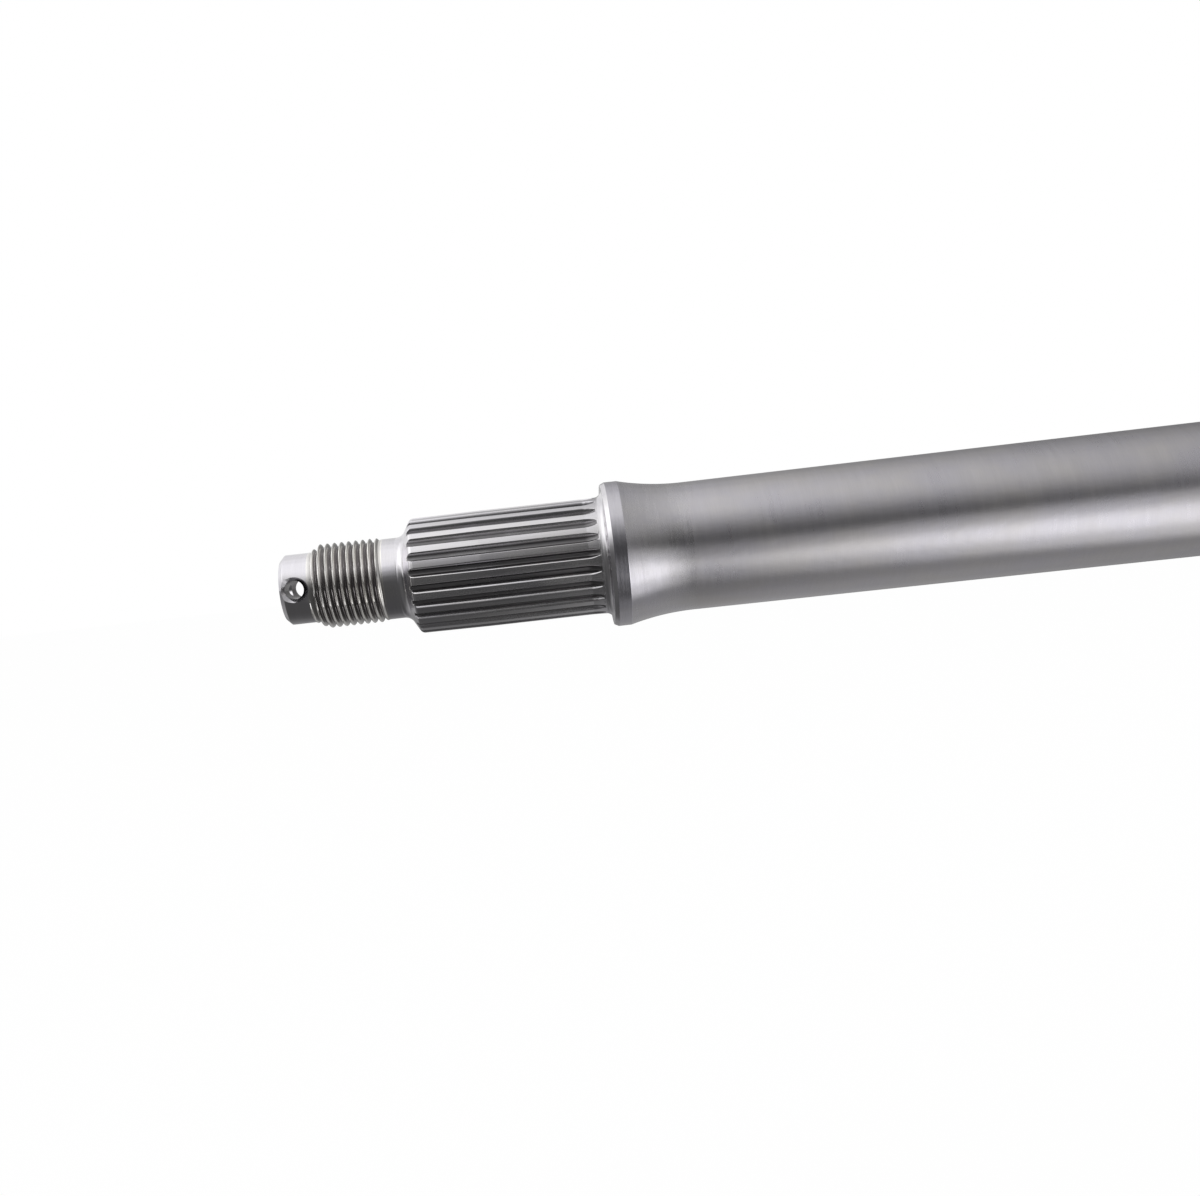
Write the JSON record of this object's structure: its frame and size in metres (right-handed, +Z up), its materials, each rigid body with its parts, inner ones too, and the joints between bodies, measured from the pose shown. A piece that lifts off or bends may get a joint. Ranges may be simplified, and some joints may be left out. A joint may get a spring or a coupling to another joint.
{
  "type": "axle shaft",
  "caption": "Solid steel axle shaft with alike ends: cotter-drilled nose, threaded end, neck, splined hub seat and stop collar, and a plain bearing seat between tapered arms.",
  "frame": {"origin": "middle of the shaft, on its centre line", "axes": "X along the shaft, the pictured end at -X; Y along both cotter holes; +Z up through the middle of one spline tooth"},
  "size_m": [0.701, 0.032, 0.032],
  "materials": {
    "turned_steel": "bare turned and ground steel, polished ends, finely brushed body"
  },
  "bodies": {
    "root": {"axle_shaft": "turned_steel"}
  },
  "joints": []
}
